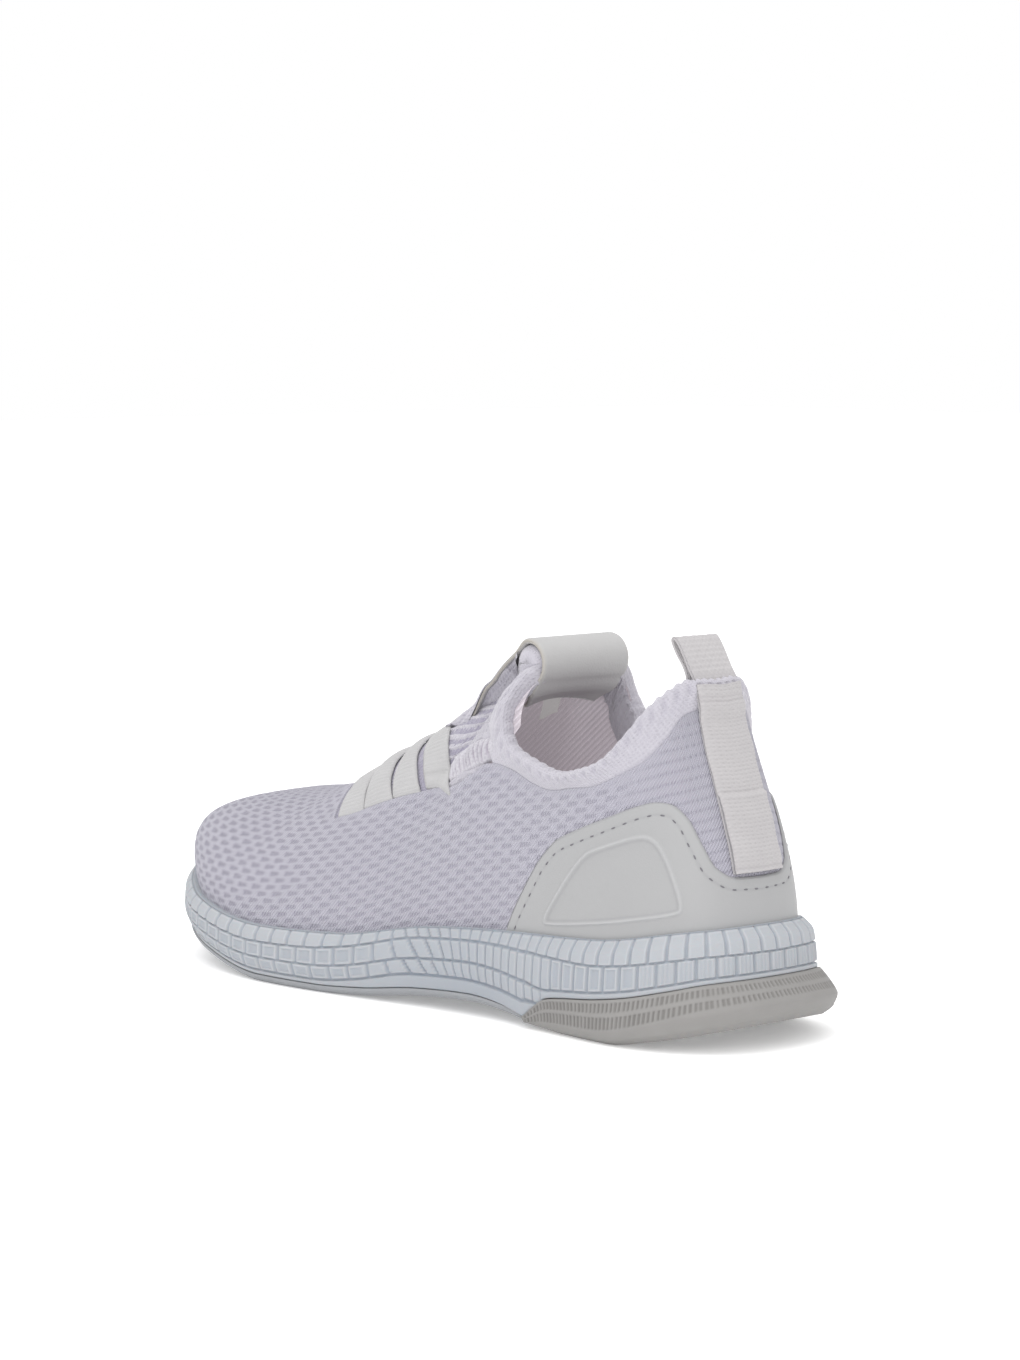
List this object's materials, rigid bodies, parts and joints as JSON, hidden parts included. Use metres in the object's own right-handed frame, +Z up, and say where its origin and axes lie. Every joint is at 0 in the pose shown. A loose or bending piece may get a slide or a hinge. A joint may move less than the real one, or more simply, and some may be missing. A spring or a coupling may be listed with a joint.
{
  "type": "running shoe",
  "caption": "Slip-on running shoe, left foot: knit mesh upper with elastic throat bands, pull loops at tongue and heel, moulded heel overlay, blocky foam midsole and flared heel tread.",
  "frame": {"origin": "centre of the footprint's bounding box, on the ground", "axes": "+Y towards the toe, +Z up, +X towards the inner (medial) side of this left shoe"},
  "size_m": [0.1076, 0.3004, 0.1313],
  "materials": {
    "foam": "matt moulded foam",
    "heel_rubber": "matt rubber, finely ribbed",
    "tread_rubber": "matt rubber",
    "board": "stitched fibre board",
    "sockliner": "brushed knit over foam",
    "mesh": "engineered knit mesh with dashed openings",
    "lining": "ribbed knit lining",
    "stiffener": "thermoformed sheet",
    "padding": "open-cell foam",
    "knit": "soft stretch knit",
    "strap": "smooth synthetic leather",
    "film": "satin moulded film",
    "webbing": "ribbed woven webbing",
    "elastic": "ribbed flat elastic"
  },
  "bodies": {
    "shoe": {"midsole": "foam", "heel_outsole": "heel_rubber", "forefoot_outsole": "tread_rubber", "strobel_board": "board", "upper_mesh": "mesh", "lining": "lining", "heel_counter": "stiffener", "toe_puff": "stiffener", "collar_foam": "padding", "collar_binding": "knit", "throat_knit": "knit", "heel_overlay": "film", "toe_bumper": "film", "heel_webbing": "webbing", "throat_band_1": "elastic", "throat_band_2": "elastic", "throat_band_3": "elastic", "throat_band_4": "elastic"},
    "insole": {"insole": "sockliner"},
    "tongue": {"tongue_knit": "knit", "tongue_binding": "knit", "tongue_padding": "padding", "tongue_tape": "strap", "tongue_anchor_patch": "strap"},
    "tongue_loop": {"tongue_pull_loop": "strap"},
    "heel_loop": {"heel_pull_loop": "webbing"}
  },
  "joints": [
    {"name": "tongue_flex", "type": "hinge", "parent": "shoe", "child": "tongue", "pos_m": [0, 0.0003, 0.088], "axis": [-1, 0, 0], "range_deg": [0, 12], "stiffness_Nm_per_rad": 0.5},
    {"name": "tongue_loop_flex", "type": "hinge", "parent": "tongue", "child": "tongue_loop", "pos_m": [0, -0.0423, 0.1192], "axis": [-1, 0, 0], "range_deg": [-10, 12], "stiffness_Nm_per_rad": 0.01},
    {"name": "heel_loop_flex", "type": "hinge", "parent": "shoe", "child": "heel_loop", "pos_m": [0, -0.1111, 0.1162], "axis": [-1, 0, 0], "range_deg": [-25, 30], "stiffness_Nm_per_rad": 0.008},
    {"name": "insole_lift", "type": "hinge", "parent": "shoe", "child": "insole", "pos_m": [0, 0.1353, 0.0345], "axis": [-1, 0, 0], "range_deg": [0, 2.5]}
  ]
}
